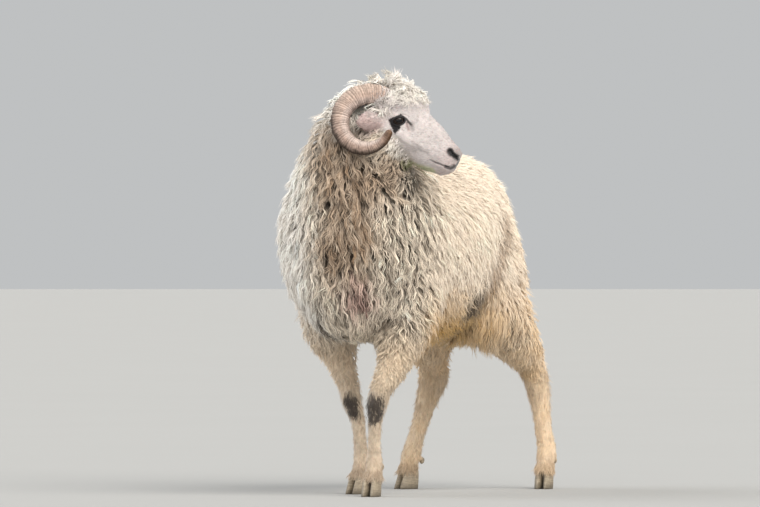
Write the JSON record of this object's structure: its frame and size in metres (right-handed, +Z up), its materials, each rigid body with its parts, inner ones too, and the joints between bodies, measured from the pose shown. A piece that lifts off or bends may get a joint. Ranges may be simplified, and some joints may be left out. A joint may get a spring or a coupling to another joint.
{
  "type": "sheep",
  "caption": "Life-size standing ram with a long shaggy fleece, curled horns, bare white face and shins, its head turned over its left shoulder.",
  "frame": {"origin": "on the ground, under the middle of the box round the whole animal", "axes": "+Z up, -Y the way the body faces, +X the animal's left side"},
  "size_m": [0.4498, 0.84, 0.8975],
  "materials": {
    "wool": "matt cream fleece",
    "face": "short white hair over pink skin",
    "shin": "short cream hair",
    "horn": "ridged, dull sheen",
    "hoof": "dull",
    "eye": "wet gloss"
  },
  "bodies": {
    "root": {"trunk": "wool", "neck": "wool", "tail": "wool", "head": "face", "foreleg_left_upper": "wool", "foreleg_left_lower": "shin", "foreleg_left_claw_left": "hoof", "foreleg_left_dewclaw_left": "hoof", "foreleg_left_claw_right": "hoof", "foreleg_left_dewclaw_right": "hoof", "foreleg_right_upper": "wool", "foreleg_right_lower": "shin", "foreleg_right_claw_left": "hoof", "foreleg_right_dewclaw_left": "hoof", "foreleg_right_claw_right": "hoof", "foreleg_right_dewclaw_right": "hoof", "hindleg_left_upper": "wool", "hindleg_left_lower": "shin", "hindleg_left_claw_left": "hoof", "hindleg_left_dewclaw_left": "hoof", "hindleg_left_claw_right": "hoof", "hindleg_left_dewclaw_right": "hoof", "hindleg_right_upper": "wool", "hindleg_right_lower": "shin", "hindleg_right_claw_left": "hoof", "hindleg_right_dewclaw_left": "hoof", "hindleg_right_claw_right": "hoof", "hindleg_right_dewclaw_right": "hoof", "horn_left": "horn", "ear_left": "face", "eye_left": "eye", "horn_right": "horn", "ear_right": "face", "eye_right": "eye"}
  },
  "joints": []
}
